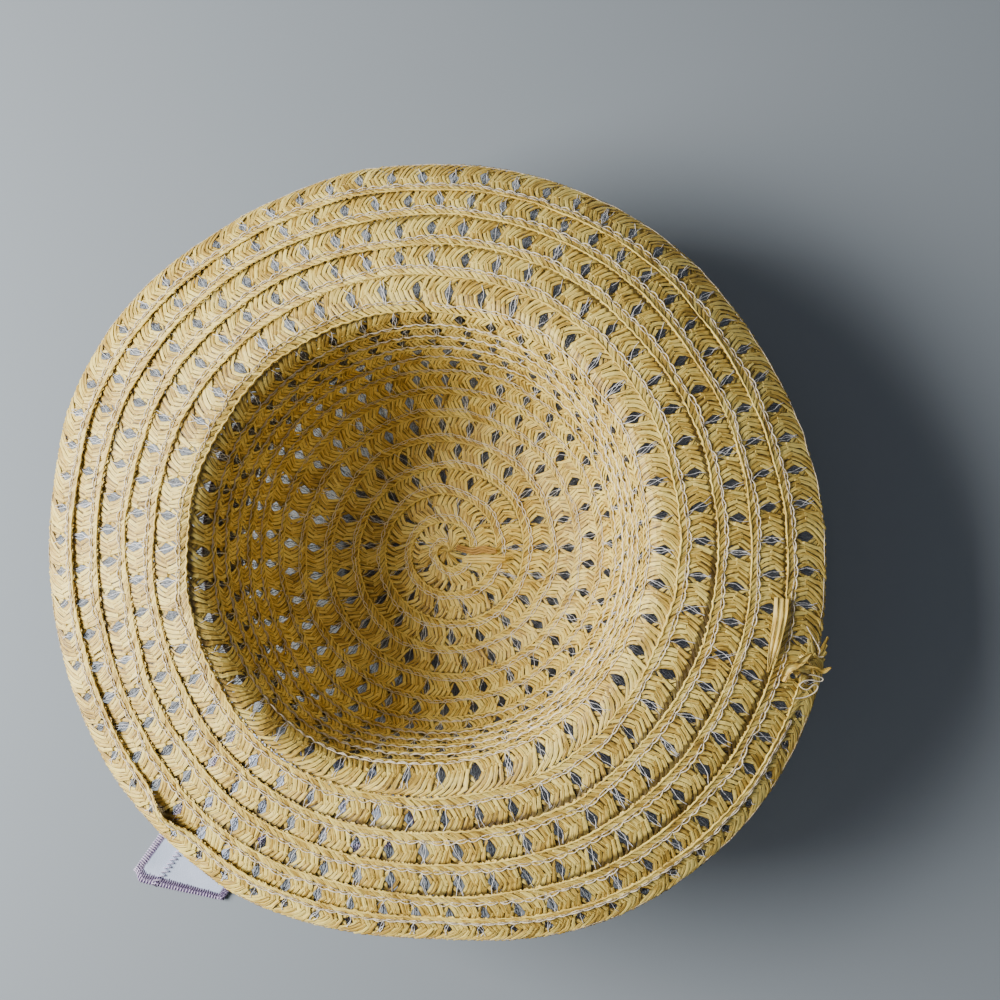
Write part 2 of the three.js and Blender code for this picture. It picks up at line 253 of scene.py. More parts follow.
# Unevenness of the sewing, in mm: a round's place, its height and its middle, new every few mm along.
WANDER_STEP = 7.0
ROW_WANDER, ROW_RISE, MIDDLE_WANDER = 0.28, 0.14, 0.45
AXIS_ROOM = 6.0  # how wide rounds are gathered about the middle of the tip, in square mm
STITCH_SINK, STITCH_PULL, STITCH_REACH = 0.22, 0.12, 1.1  # the braid sinks at its sewing line
EDGE_PUFF, EDGE_PULL, EDGE_REACH = 0.16, 0.1, 0.9  # its inner edge puffs up beside it
SCALLOP, SCALLOP_REACH = 0.22, 2.5


class Spiral:
    """The braid's way round the hat: distance along its centreline, and where that is on the wall."""

    def __init__(self):
        self.turns = np.linspace(FIRST_TURN - 0.2, LAST_TURN + 0.1, 12000)
        place = self.off_axis(self.sewing_place(self.turns) + STITCH_TO_CENTRE)
        points, _ = wall_point(place, self.angle(self.turns), 0)
        steps = np.linalg.norm(np.diff(points, axis=0), axis=1)
        self.along = np.concatenate([[0], np.cumsum(steps)])
        rng = np.random.default_rng(5)
        count = int(self.along[-1] / WANDER_STEP) + 8
        self.wander = smooth_noise(rng, count, 3)
        self.rise = smooth_noise(rng, count, 2)
        self.middle = smooth_noise(rng, count, 0)

    @staticmethod
    def off_axis(place):
        """Rounds that would cross the tip's middle are gathered close round it."""
        return (place + np.sqrt(place**2 + AXIS_ROOM)) / 2

    @staticmethod
    def uneven(values, along):
        return np.interp(along / WANDER_STEP, np.arange(len(values)), values)

    @staticmethod
    def angle(turn):
        return (turn - TURN_AT_ANGLE_ZERO) * 360

    @staticmethod
    def sewing_place(turn):
        pitch = settings().row_pitch / MM
        angle = Spiral.angle(turn) % 360
        on_crown = np.minimum(pitch * (turn - TURN_OF_CENTRE), CROWN_END)
        share = np.interp(turn, BRIM_TURNS, BRIM_SHARES)
        drift = np.interp(angle, *np.transpose(BRIM_DRIFT))
        drift = drift * smoothstep(turn, *DRIFT_TURNS[:2]) * (1 - smoothstep(turn, *DRIFT_TURNS[2:]))
        return on_crown + (share + drift) * brim_width(angle)

    def at(self, along, across, height):
        """Points and normals in braid coordinates: across is out from the centreline, height off it."""
        turn = np.interp(along, self.along, self.turns)
        angle = self.angle(turn)
        half = settings().braid_width / MM / 2
        tilt = -across * settings().lap_rise / MM / half
        extra = LIFT_ON_EDGE * smoothstep(turn, EDGE_TURN - 0.04, EDGE_TURN + 0.05)
        near = np.exp(-(((angle % 360 - POCKET["angle"]) / POCKET["spread"]) ** 2)) * (turn > EDGE_TURN)
        inner = np.clip((half - across) / (2 * half), 0, 1) ** 1.5
        centre = self.sewing_place(turn) + STITCH_TO_CENTRE
        across = across + MIDDLE_WANDER * self.uneven(self.middle, along) * (1 - (across / half) ** 2)
        # The last rounds are drawn in where they would stand past the rim.
        room = np.clip(CROWN_END + brim_width(angle) - centre, 0, half)
        across = np.where(turn > OUTER_TURN, (across + half) * (half + room) / (2 * half) - half, across)
        place = centre + across + POCKET["slide"] * near * inner
        place = place + ROW_WANDER * self.uneven(self.wander, along)
        # Every stitch draws the braid in a little, and the edge beside it puffs up between two stitches.
        pull = np.cos(2 * np.pi * along / STITCH)
        from_sewing = (across + STITCH_TO_CENTRE) / STITCH_REACH
        from_edge = (across + half - EDGE_REACH) / EDGE_REACH
        sewn = np.exp(-(from_sewing**2)) * (STITCH_SINK + STITCH_PULL * pull)
        edge = np.exp(-(from_edge**2)) * (EDGE_PUFF - EDGE_PULL * pull)
        scallop = SCALLOP * pull * smoothstep(-across, half - SCALLOP_REACH, half)
        offset = ROW_LIFT + tilt + extra + POCKET["lift"] * near * inner + height - sewn + edge
        offset = offset + ROW_RISE * self.uneven(self.rise, along)
        return wall_point(self.off_axis(place + scallop), angle, offset)

    def distance(self, turn):
        return float(np.interp(turn, self.turns, self.along))


def settings():
    return bpy.context.scene.straw_hat


# ---- meshes ----


def template(sides, stations):
    """One closed strand: a grid rolled into a tube, its seam merged and its ends filled. Returns each
    vertex's station and corner angle, and the faces."""
    shape = bmesh.new()
    bmesh.ops.create_grid(shape, x_segments=sides, y_segments=stations - 1, size=1)
    for vert in shape.verts:
        turn = math.pi * (vert.co.x + 1)
        vert.co = (math.cos(turn), math.sin(turn), (vert.co.y + 1) / 2 * (stations - 1))
    bmesh.ops.remove_doubles(shape, verts=shape.verts, dist=1e-3)
    bmesh.ops.holes_fill(shape, edges=[edge for edge in shape.edges if edge.is_boundary], sides=sides)
    bmesh.ops.recalc_face_normals(shape, faces=shape.faces)
    shape.verts.index_update()
    station = np.array([round(vert.co.z) for vert in shape.verts])
    corner = np.array([math.atan2(vert.co.y, vert.co.x) for vert in shape.verts])
    faces = [[vert.index for vert in face.verts] for face in shape.faces]
    shape.free()
    return station, corner, faces


def strand_mesh(name, batches, smooth=False):
    """Many strands joined into one mesh. A batch has centres and normals (strands, stations, 3) and half
    widths (strands, stations), and may have its own thickness above and below its middle, a roll, a tone
    and a number of sides, and how much painted shade its cracks and its groove get."""
    coords, loops, sizes, lines, smooths = [], [], [], [], []
    marks = {"tone": [], "crease": [], "groove": []}
    first = 0
    for batch in batches:
        centre = batch["centre"]
        count, stations, _ = centre.shape
        station, corner, faces = template(batch.get("sides", 4), stations)

        def spread(value):
            """A value of the batch at every vertex of every strand."""
            return np.broadcast_to(value, (count, stations))[:, station]

        marks["tone"].append(spread(np.reshape(batch["tone"], (-1, 1))).ravel())
        marks["crease"].append(spread(batch.get("crease", 1.0)).ravel())
        marks["groove"].append(spread(batch.get("groove", 0.0)).ravel())
        along = np.gradient(centre, axis=1)
        along /= np.maximum(np.linalg.norm(along, axis=2, keepdims=True), 1e-9)
        side = np.cross(along, batch["normal"])
        side /= np.maximum(np.linalg.norm(side, axis=2, keepdims=True), 1e-9)
        up = np.cross(side, along)
        roll = np.broadcast_to(batch.get("roll", 0.0), (count,))[:, None, None]
        side, up = side * np.cos(roll) + up * np.sin(roll), up * np.cos(roll) - side * np.sin(roll)
        half = spread(batch["half"])
        above, below = spread(batch.get("above", batch["half"])), spread(batch.get("below", batch["half"]))
        rise = (np.where(np.sin(corner) > 0, above, below) * np.sin(corner))[..., None]
        # Seen along the strand, side is to the left, so a template ring keeps its faces outward.
        points = centre[:, station] - side[:, station] * half[..., None] * np.cos(corner)[None, :, None]
        points = points + up[:, station] * rise
        coords.append(points.reshape(-1, 3))
        flat = np.concatenate([np.array(face) for face in faces])
        offsets = first + np.arange(count)[:, None] * len(station)
        loops.append((flat[None, :] + offsets).ravel())
        sizes.append(np.tile([len(face) for face in faces], count))
        smooths.append(np.full(len(sizes[-1]), batch.get("smooth", smooth)))
        steps = np.linalg.norm(np.diff(centre, axis=1), axis=2)
        distance = np.concatenate([np.zeros((count, 1)), np.cumsum(steps, 1)], 1)[:, station]
        lines.append(np.stack([np.tile(np.cos(corner), count), distance.ravel()], -1))
        first += count * len(station)
    coords, loops, sizes = np.concatenate(coords) * MM, np.concatenate(loops), np.concatenate(sizes)
    mesh = bpy.data.meshes.new(name)
    mesh.vertices.add(len(coords))
    mesh.vertices.foreach_set("co", coords.astype(np.float32).ravel())
    mesh.loops.add(len(loops))
    mesh.loops.foreach_set("vertex_index", loops.astype(np.int32))
    mesh.polygons.add(len(sizes))
    starts = np.concatenate([[0], np.cumsum(sizes)[:-1]])
    mesh.polygons.foreach_set("loop_start", starts.astype(np.int32))
    mesh.polygons.foreach_set("use_smooth", np.concatenate(smooths))
    mesh.update(calc_edges=True)
    mesh.validate()
    for key, values in marks.items():
        mark = mesh.attributes.new(key, "FLOAT", "POINT")
        mark.data.foreach_set("value", np.concatenate(values).astype(np.float32))
    # Lie of the strand for its finish: across it, along it in mm, and its tone.
    across, along = np.concatenate(lines).T
    lie = mesh.attributes.new("lie", "FLOAT_VECTOR", "POINT")
    lies = np.stack([across, along, np.concatenate(marks["tone"])], -1)
    lie.data.foreach_set("vector", lies.astype(np.float32).ravel())
    return mesh


def round_strand(centre, normals, half, rng, sides=3):
    """A single round strand through its points, for strand_mesh."""
    strand = {"centre": centre[None], "normal": normals[None], "half": half}
    return {**strand, "tone": rng.random(1), "sides": sides}


def mesh_from(shape, name, smooth=False):
    """Mesh of a finished bmesh, which it frees."""
    for face in shape.faces:
        face.smooth = face.smooth or smooth
    mesh = bpy.data.meshes.new(name)
    shape.to_mesh(mesh)
    shape.free()
    return mesh


def join_meshes(name, meshes):
    """Several meshes as one."""
    shape = bmesh.new()
    for mesh in meshes:
        shape.from_mesh(mesh)
        bpy.data.meshes.remove(mesh)
    return mesh_from(shape, name)


def sheet_mesh(name, surface, grid, closed=False, folds=0, seed=0):
    """A sheet shaped from a grid: surface takes along (0 to 1) and across (-1 to 1) and returns points. A
    sheet of paper has lengthwise folds, each of which lies like a straw of its own."""
    shape = bmesh.new()
    bmesh.ops.create_grid(shape, x_segments=grid[0], y_segments=grid[1], size=1)
    flat = np.array([vert.co[:2] for vert in shape.verts])
    points, _ = surface((flat[:, 0] + 1) / 2, flat[:, 1])
    lie = shape.verts.layers.float_vector.new("lie")
    tone = shape.verts.layers.float.new("tone")
    # Tone, and full painted shade in the cracks at the sheet's folds.
    crease = shape.verts.layers.float.new("crease")
    for vert, (x, y), point in zip(shape.verts, flat, points * MM):
        vert.co = point
        vert[lie] = ((y * folds + 1) % 2 - 1, x * 8, seed) if folds else ((x + 1) / 2, y, 0)
        vert[tone] = 0.5
        vert[crease] = 1.0
    if closed:
        bmesh.ops.remove_doubles(shape, verts=shape.verts, dist=1e-6)
    bmesh.ops.recalc_face_normals(shape, faces=shape.faces)
    return mesh_from(shape, name, smooth=True)


def place_piece(name, mesh, key, replaces=()):
    """Puts a finished mesh in the scene as a piece of the hat."""
    old = bpy.data.objects.get(name)
    if old is not None:
        bpy.data.objects.remove(old)
    piece = bpy.data.objects.new(name, mesh)
    bpy.context.scene.collection.objects.link(piece)
    mesh.materials.append(finish(key))
    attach(piece, "root")
    if replaces:
        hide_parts(*replaces)
    return piece


def thicken(piece, thickness):
    """Gives a sheet its thickness, half on each side of its middle."""
    solid = piece.modifiers.new("cloth thickness", "SOLIDIFY")
    solid.thickness = thickness * MM
    solid.offset = 0.0


# ---- finishes ----


def linear(hex_colour):
    """sRGB hex to the linear colour that a shader takes."""
    channels = [int(hex_colour[i:i + 2], 16) / 255 for i in (1, 3, 5)]
    return [c / 12.92 if c <= 0.04045 else ((c + 0.055) / 1.055) ** 2.4 for c in channels] + [1.0]


def add_node(tree, kind, inputs=None, output=0, stops=(), **values):
    """Adds a node with its settings and links and returns one of its outputs. An input is a value or
    another node's output, and stops are the places and colours of a ramp."""
    made = tree.nodes.new("ShaderNode" + kind)
    for key, value in values.items():
        setattr(made, key, value)
    for key, value in (inputs or {}).items():
        if isinstance(value, bpy.types.NodeSocket):
            tree.links.new(value, made.inputs[key])
        else:
            made.inputs[key].default_value = value
    if stops:
        points = made.color_ramp.elements
        for _ in stops[2:]:
            points.new(0.5)
        for point, (place, shade) in zip(points, stops):
            point.position, point.color = place, linear(shade)
    return made.outputs[output] if made.outputs else made


def paper_straw(node, dark, mid, light, crack_shade_colour, roughness):
    """Kraft paper slit, creased lengthwise and pressed flat: matt gold strips, each its own tone, with
    fine streaks along it, painted shade in the cracks here and there along its edges, painted shade where
    a round goes under the next one, and a soft shine."""
    tone = node("Attribute", output="Fac", attribute_name="tone")
    crease = node("Attribute", output="Fac", attribute_name="crease")
    lie = node("Attribute", output="Vector", attribute_name="lie")
    # Streaks: about four across a strip, each some 6 mm long.
    stretched = node("VectorMath", {0: lie, 1: (3.0, 0.16, 37.0)}, operation="MULTIPLY")
    streaks = node("TexNoise", {"Vector": stretched, "Scale": 1.0, "Detail": 3.0, "Roughness": 0.6})
    # Weathering of the hat: patches some 12 mm across.
    here = node("TexCoord", output="Object")
    patches = node("TexNoise", {"Vector": here, "Scale": 85.0, "Detail": 3.0, "Roughness": 0.6})
    mixed = node("Math", {0: streaks, 1: 1.3, 2: -0.33}, operation="MULTIPLY_ADD")
    toned = node("Math", {0: tone, 1: 0.26, 2: mixed}, operation="MULTIPLY_ADD")
    patched = node("Math", {0: patches, 1: 0.55, 2: toned}, operation="MULTIPLY_ADD")
    shade = node("ValToRGB", {"Fac": patched}, stops=[(0.4, dark), (0.64, mid), (0.86, light)])
    # Painted shade of the cracks between strips: near both edges of a strip, some 3 mm long.
    side = node("SeparateXYZ", {"Vector": lie})
    edge = node("Math", {0: side}, operation="ABSOLUTE")
    near = node(
        "MapRange", {"Value": edge, "From Min": 0.58, "From Max": 0.88}, interpolation_type="SMOOTHSTEP"
    )
    spotted = node("VectorMath", {0: lie, 1: (3.0, 0.33, 61.0)}, operation="MULTIPLY")
    spots = node("TexNoise", {"Vector": spotted, "Scale": 1.0, "Detail": 1.0})
    here_and_there = node("MapRange", {"Value": spots, "From Min": 0.36, "From Max": 0.5})
    crack_shade_mask = node("Math", {0: near, 1: here_and_there}, operation="MULTIPLY")
    creased = node("Math", {0: crack_shade_mask, 1: crease}, operation="MULTIPLY")
    # Painted shade in the grooves, where a round goes under the next one.
    groove = node("Attribute", output="Fac", attribute_name="groove")
    painted_shade = node("MapRange", {"Value": groove, "From Min": 0.27, "From Max": 0.6, "To Max": 0.85})
    share = node("Math", {0: creased, 1: painted_shade}, operation="MAXIMUM")
    both = node("Mix", {"Factor": share, 6: shade, 7: linear(crack_shade_colour)}, output=2, data_type="RGBA")
    bump = node("Bump", {"Height": streaks, "Strength": 0.7, "Distance": 0.0003})
    return node(
        "BsdfPrincipled",
        {"Base Color": both, "Roughness": roughness, "Normal": bump, "Specular IOR Level": 0.4},
    )


def spun_thread(node, dark, light, roughness):
    """Spun sewing thread: soft matt fibre with a fine twist of about 1 mm."""
    tone = node("Attribute", output="Fac", attribute_name="tone")
    lie = node("Attribute", output="Vector", attribute_name="lie")
    twist = node("TexNoise", {"Vector": lie, "Scale": 1.3, "Detail": 1.0})
    toned = node("Math", {0: tone, 1: 0.5, 2: twist}, operation="MULTIPLY_ADD")
    shade = node("ValToRGB", {"Fac": toned}, stops=[(0.5, dark), (0.8, light)])
    return node("BsdfPrincipled", {"Base Color": shade, "Roughness": roughness, "Sheen Weight": 0.2})


def woven_satin(node, cloth, edge, cut_end):
    """Woven polyester satin: smooth pale cloth with a broad silky shine along it, and the overlock's dark
    threads showing through for the last 3 mm, at a tail's cut end too."""
    lie = node("Attribute", output="Vector", attribute_name="lie")
    along = node("SeparateXYZ", {"Vector": lie})
    from_middle = node("Math", {0: along.node.outputs["Y"]}, operation="ABSOLUTE")
    here = node("TexCoord", output="Object")
    # Weave: satin threads lie 0.35 mm apart, drawn at 0.5 mm so that they show.
    weave = node("TexNoise", {"Vector": here, "Scale": 2000.0, "Detail": 1.0})
    folds = node("TexNoise", {"Vector": here, "Scale": 60.0, "Detail": 2.0})
    if cut_end:
        near_end = node("Math", {0: along, 1: 4.5, 2: -3.5}, operation="MULTIPLY_ADD")
        from_middle = node("Math", {0: from_middle, 1: near_end}, operation="MAXIMUM")
    shade = node("ValToRGB", {"Fac": from_middle}, stops=[(0.0, cloth), (0.84, cloth), (0.88, edge)])
    both = node("Math", {0: weave, 1: 0.15, 2: folds}, operation="MULTIPLY_ADD")
    bump = node("Bump", {"Height": both, "Strength": 0.35, "Distance": 0.001})
    sheen = {"Roughness": 0.36, "Anisotropic": 0.5, "Sheen Weight": 0.3}
    return node("BsdfPrincipled", {"Base Color": shade, "Normal": bump, **sheen})


def matt_floor(node, shade):
    """Matt painted floor: plain and pale, without shine."""
    return node("BsdfPrincipled", {"Base Color": linear(shade), "Roughness": 0.9})


# Name, recipe and the recipe's values: a colour, the setting that holds it, or a number.
FINISHES = {
    # A paper finish's fourth colour is the painted shade of its cracks and grooves.
    "braid": (
        "creased kraft paper straw", paper_straw, "straw_dark", "straw_mid", "straw_light", "#32200A", 0.42
    ),
    "loose": ("loose creased paper", paper_straw, "#A87A2A", "#DDB548", "#FAE58A", "#5A3E18", 0.4),
    "worn": ("worn creased paper", paper_straw, "#6E4A1C", "#A67A38", "#CFA75C", "#3A260E", 0.5),
    "sewing": ("cream spun sewing thread", spun_thread, "#947E5A", "sewing", 0.7),
    # The plaiting thread is white; its dark colour is painted shade for the threads in the windows.
    "plaiting": ("white plaiting thread", spun_thread, "#1E2231", "plaiting", 0.35),
    "overlock": ("lilac overlock thread", spun_thread, "#56426E", "overlock", 0.45),
    "ribbon": ("white polyester satin", woven_satin, "satin", "#4E3C68", False),
    "tail": ("white polyester satin of a tail", woven_satin, "satin", "#4E3C68", True),
    "floor": ("pale matt floor", matt_floor, "#848D96"),
}


def finish(key):
    """The material of a finish, made by its recipe when it is first asked for."""
    name, recipe, *values = FINISHES[key]
    if name in bpy.data.materials:
        return bpy.data.materials[name]
    material = bpy.data.materials.new(name)
    material.use_nodes = True
    material.node_tree.nodes.clear()
    node = partial(add_node, material.node_tree)
    values = [getattr(settings(), value, value) if isinstance(value, str) else value for value in values]
    node("OutputMaterial", {"Surface": recipe(node, *values)})
    return material


# ---- the plait ----


def fan(reach, closed):
    """Where the yarns of one period begin and end along the braid on their upper side, from the window
    before them. Closed is the share by which the windows are drawn shut."""
    begin, end = np.interp(reach, FAN_ACROSS, FAN_BEGIN), np.interp(reach, FAN_ACROSS, FAN_END)
    shut = FULLY_SHUT * closed * (PERIOD + begin - end)
    return begin - shut, end + shut


def yarn_route(share, route, closed):
    """Along place of a yarn from edge to edge; its share of the period is 0 at the window before it and 1
    at the next one. Its under side is its upper side turned over."""
    begin, end = fan(np.abs(route), closed)
    return np.where(route < 0, begin + share * (end - begin), PERIOD - end + share * (end - begin))


def covered(spiral, along):
    """How far the next round hides a round's outer edge: not at the opening's fold, nor at the rim."""
    fold, brim = (spiral.distance(turn) for turn in FOLD_TURNS)
    rim = spiral.distance(LAST_TURN - 1)
    at_fold = smoothstep(along, fold, fold + FOLD_FADE) * (1 - smoothstep(along, brim - FOLD_FADE, brim))
    return (1 - at_fold) * (1 - smoothstep(along, rim - RIM_FADE, rim))


def painted_shade_side(points):
    """Painted shade by side of the hat: 0 where it is lightest, 1 where it is heaviest, towards +X and -Y.
    """
    return smoothstep(SHADE_AHEAD * points[..., 0] + SHADE_ASIDE * points[..., 1], SHADE_LIGHTEST, SHADE_HEAVIEST)


def straw_batch(spiral, windows, shut, family, rng, plain):
    """Straws that run one way. Each lies on top from one edge to the centreline, dives there and goes on
    underneath to the other edge, where it folds back."""
    half = settings().braid_width / MM / 2
    window, closed = np.repeat(windows, STRAWS)[:, None], np.repeat(shut, STRAWS)[:, None]
    own = np.tile((np.arange(STRAWS) + 0.5) / STRAWS, len(windows))[:, None]
    count = len(window)
    # Straws dive a little before or after the centreline, so that they interlock there.
    route = ROUTE + rng.uniform(*DIVE, (count, 1)) * DIVING
    reach = np.abs(route)
    interlock = -family * INTERLOCK * (1 - np.minimum(reach / INTERLOCK_REACH, 1))
    along = window + yarn_route(own, route, closed) + interlock + rng.normal(0, ALONG_SCATTER, (count, 1))
    at_fold = smoothstep(reach, 0.7 * half, half)
    across = family * (route + rng.normal(0, FOLD_SCATTER, (count, 1)) * at_fold)
    side = np.where(ON_TOP, 1, -1) * (reach < half)
    puff = PUFF * np.sin(np.pi * own) ** 2 * (1 - (route / half) ** 2)
    # The straw that closes a window from below fills the corner beside it.
    beside = 1 - smoothstep(np.abs(reach - CORNER_ACROSS), 1, 2)
    corner = CORNER_FILL * (side < 0) * smoothstep(own, 0.7, 0.9) * beside
    height = side * (LAYER + puff) + corner + rng.normal(0, LAYER_SCATTER, route.shape)
    centre, normal = spiral.at(along, across, height)
    # Painted shade in the groove where the next round hides this round's outer edge, heavier on one side.
    painted_shade = (LEAST_SIDE_SHADE + (1 - LEAST_SIDE_SHADE) * painted_shade_side(centre)) * rng.uniform(0.85, 1, (count, 1))
    near = NEAR_GROOVE * smoothstep(-centre[..., 1], NEAR_FROM, NEAR_FULL)
    # As wide as its room along the braid, seen across its own slant.
    begin, end = fan(reach, closed)
    slant = np.gradient(yarn_route(own, ROUTE, closed), ROUTE, axis=1)
    width = (end - begin) / STRAWS / np.sqrt(1 + slant**2) * settings().yarn_fill
    narrow = 1 - EDGE_NARROWING * smoothstep(reach, 0.8 * half, half)
    width = width * narrow * rng.normal(1, WIDTH_SCATTER, (count, 1))
    # Painted crack shade is full away from the strip between the inner edge and the sewing line.
    creased = smoothstep(across, -STITCH_TO_CENTRE - 1, -STITCH_TO_CENTRE + 1)
    return {
        "centre": centre,
        "normal": normal,
        "half": width / 2,
        "above": STRAW_HALF,
        "below": STRAW_HALF,
        "roll": rng.normal(*STRAW_ROLL, count) * family,
        "tone": rng.random(count),
        "crease": 1 - plain * (1 - creased),
        "groove": smoothstep(across + near, GROOVE_SHADE_FROM, GROOVE_SHADE_FULL) * covered(spiral, window) * painted_shade,
    }


def thread_batch(spiral, windows, family, rng):
    """Bundles of plaiting thread that run one way, each through the middle of a window."""
    window = np.repeat(windows, len(THREADS))[:, None]
    own = np.tile(THREADS, len(windows))[:, None]
    count = len(window)
    reach = np.abs(THREAD_ROUTE)
    lead = np.sign(THREAD_ROUTE) * np.interp(reach, LEAD_ACROSS, THREAD_LEAD)
    gather = 1 - GATHERED * smoothstep(reach, 0.6, 3.4)
    # Some lie over the straws on both sides of the window, and stray there.
    upper = rng.random((count, 1)) < UPPER_SHARE
    stray = upper * rng.normal(0, STRAY, (count, 1)) * THREAD_ROUTE
    scatter = rng.normal(0, THREAD_SCATTER, (count, len(THREAD_ROUTE)))
    along = window + own * gather + lead + stray + scatter
    across = family * THREAD_ROUTE + 0 * along
    over = upper * smoothstep(reach, 1, 2) * (1 - smoothstep(reach, 4.6, 5.2))
    crossing = np.sign(-THREAD_ROUTE) * THREAD_CROSSING * (reach < 2.6) * ~upper
    centre, normal = spiral.at(along, across, crossing + over * (LAYER + UPPER_RISE))
    # Threads under the straws are painted dark, and all are darker on one side of the hat: painted shade.
    painted_shade = painted_shade_side(centre[:, WINDOW_STATION])
    tone = np.where(upper[:, 0], UPPER_TONE, LOWER_TONE) - SHADED_SIDE_TONE * painted_shade
    return {
        "centre": centre,
        "normal": normal,
        "half": THREAD_HALF - UPPER_THINNER * upper,
        "roll": rng.random(count),
        "tone": tone + 0.4 * rng.random(count),
        "sides": 3,
    }


def rolled_edge(spiral, first, last, rng):
    """The inner edge, where the straws fold over so closely that it looks like a smooth cord."""
    along = np.arange(first, last, STITCH / 2)
    count = len(along)
    across = -PIPING + 0.15 * smooth_noise(rng, count, 3)
    centre, normal = spiral.at(along, across, 0.2 + 0.06 * smooth_noise(rng, count, 2))
    half = PIPING_HALF + 0.06 * smooth_noise(rng, count, 2)
    return {
        "centre": centre[None],
        "normal": normal[None],
        "half": half,
        "above": 0.75 * half,
        "below": 0.9 * half,
        "tone": PIPING_TONE,
        # The smooth cord gets no painted crack shade.
        "crease": 0.0,
        "sides": 6,
        "smooth": True,
    }


def braid_batches(spiral, start, end, rng, plain):
    """Straws and plaiting threads of a stretch of braid. Plain says how much of its painted crack shade the
    strip between the inner edge and the sewing line lacks."""
    first, last = spiral.distance(start), spiral.distance(end)
    windows = np.arange(math.floor(first / PERIOD), math.ceil(last / PERIOD) + 1) * PERIOD
    tight = [spiral.distance(turn) for turn in TIGHT_TURNS]
    shut = rng.uniform(*SHUT, len(windows)) + TIGHT_SHARE * (1 - smoothstep(windows, *tight))
    inside = (windows >= first) & (windows < last)
    windows, shut = windows[inside], shut[inside]
    straws, threads = [], []
    for family in (1, -1):
        straws.append(straw_batch(spiral, windows, shut, family, rng, plain))
        threads.append(thread_batch(spiral, windows, family, rng))
    straws.append(rolled_edge(spiral, first, last, rng))
    return straws, threads


def chain_stitch(spiral, start, end, rng):
    """Two strands that part and meet at every needle hole, along the sewing line."""
    first = math.ceil(spiral.distance(start) / STITCH) * STITCH
    count = int((spiral.distance(end) - first) / STITCH) * STITCH_POINTS + 1
    along = first + np.arange(count) * STITCH / STITCH_POINTS
    wander = smooth_noise(rng, count, 20)
    apart = np.sin(np.pi * (np.arange(count) % STITCH_POINTS / STITCH_POINTS)) ** 0.7
    batches = []
    for side in (-1, 1):
        across = -STITCH_TO_CENTRE + STITCH_WANDER * wander + side * (STITCH_GAP + STITCH_OPEN * apart)
        across = across + 0.13 * smooth_noise(rng, count, 2)
        height = STITCH_RISE + STITCH_BOW * apart + 0.08 * side + 0.07 * smooth_noise(rng, count, 1)
        centre, normal = spiral.at(along, across, height)
        half = STITCH_HALF + 0.03 * smooth_noise(rng, count, 1)
        batches.append(round_strand(centre, normal, half, rng))
    return batches


def rim_thread(spiral, start, end, rng):
    """A fine thread laid over the folds of the outer edge."""
    along = np.arange(spiral.distance(start), spiral.distance(end), RIM_THREAD_STEP)
    count = len(along)
    half = settings().braid_width / MM / 2
    across = half - RIM_THREAD_INSET + 0.22 * smooth_noise(rng, count, 3)
    centre, normal = spiral.at(along, across, 0.3 + 0.12 * smooth_noise(rng, count, 2))
    return round_strand(centre, normal, RIM_THREAD_HALF, rng)


def gathered_start(rng):
    """The first ends of the straws, drawn together in the middle of the tip."""
    place, turn, rise, half = START_ENDS.T
    angle = 360 * np.arange(START_COUNT) / START_COUNT + rng.normal(0, 4, START_COUNT)
    turned = angle[:, None] + turn + rng.normal(0, 3, (START_COUNT, len(place)))
    height = rng.uniform(-0.1, 0.35, (START_COUNT, 1)) + rise
    centre, normal = wall_point(place + 0 * turned, turned, height)
    return {
        "centre": centre,
        "normal": normal,
        "half": half,
        "above": START_HALF,
        "below": START_HALF,
        "roll": rng.normal(0.15, 0.15, START_COUNT),
        "tone": rng.random(START_COUNT),
    }


# ---- ribbon ----

RIBBON_WIDTH, RIBBON_THICKNESS = 38.0, 0.4
BAND_START, BAND_OFFSET = 97.5, -2.2  # on the wall, and off its middle on the outside
BAND_SWAY, BAND_RIPPLE = 0.6, 0.25
KNOT_ANGLE, KNOT_RISE, KNOT_OUT, KNOT_SIZE = 231.0, 22.0, 8.0, (10.0, 20.0, 22.0)
KNOT_SEGMENTS, KNOT_RINGS = 72, 48
KNOT_PLEAT, KNOT_GROOVE = 0.055, 0.06  # as shares of the knot's size
GATHER_REACH, GATHER_SHARE = 11, 0.5  # degrees from the knot, and the share of its width that it loses
PLEATS, PLEAT_DEPTH = 6, 0.25
# A tail's start at the knot, its direction and slant cut, and its route: out, height and half width.
LONG_TAIL = {
    "start": (-59.1, -65.2), "direction": 235.0, "slant": 8.9,
    "route": [
        (0, 44.4, 6), (0.5, 36, 6.5), (3, 23, 8), (9, 11, 10), (18, 3.6, 13),
        (30, 0.6, 17), (44, 0.4, 19), (60, 1.6, 19), (76, 0.5, 19), (97, 0.4, 19),
    ],
}
SHORT_TAIL = {
    "start": (-50.0, -75.0), "direction": 295.0, "slant": -6.0,
    "route": [
        (0, 49.6, 6), (0.5, 36, 6.5), (3, 23, 8), (9, 11, 10), (18, 3.4, 13),
        (30, 0.5, 17), (42, 1.0, 19), (56, 0.4, 19),
    ],
}
BEND = 2.0  # bends of a tail's route are rounded over this length each way
TAIL_LIES = (24, 34)  # out from the knot, where a tail begins to lie on the floor
TAIL_CLEARANCE, CORNER_CUT = 0.5, 4.5
RIPPLE_MEAN = 0.55
RIPPLES = ((0.5, 7.5, 1.3), (0.35, 3.7, -2.2))  # height, length and slant

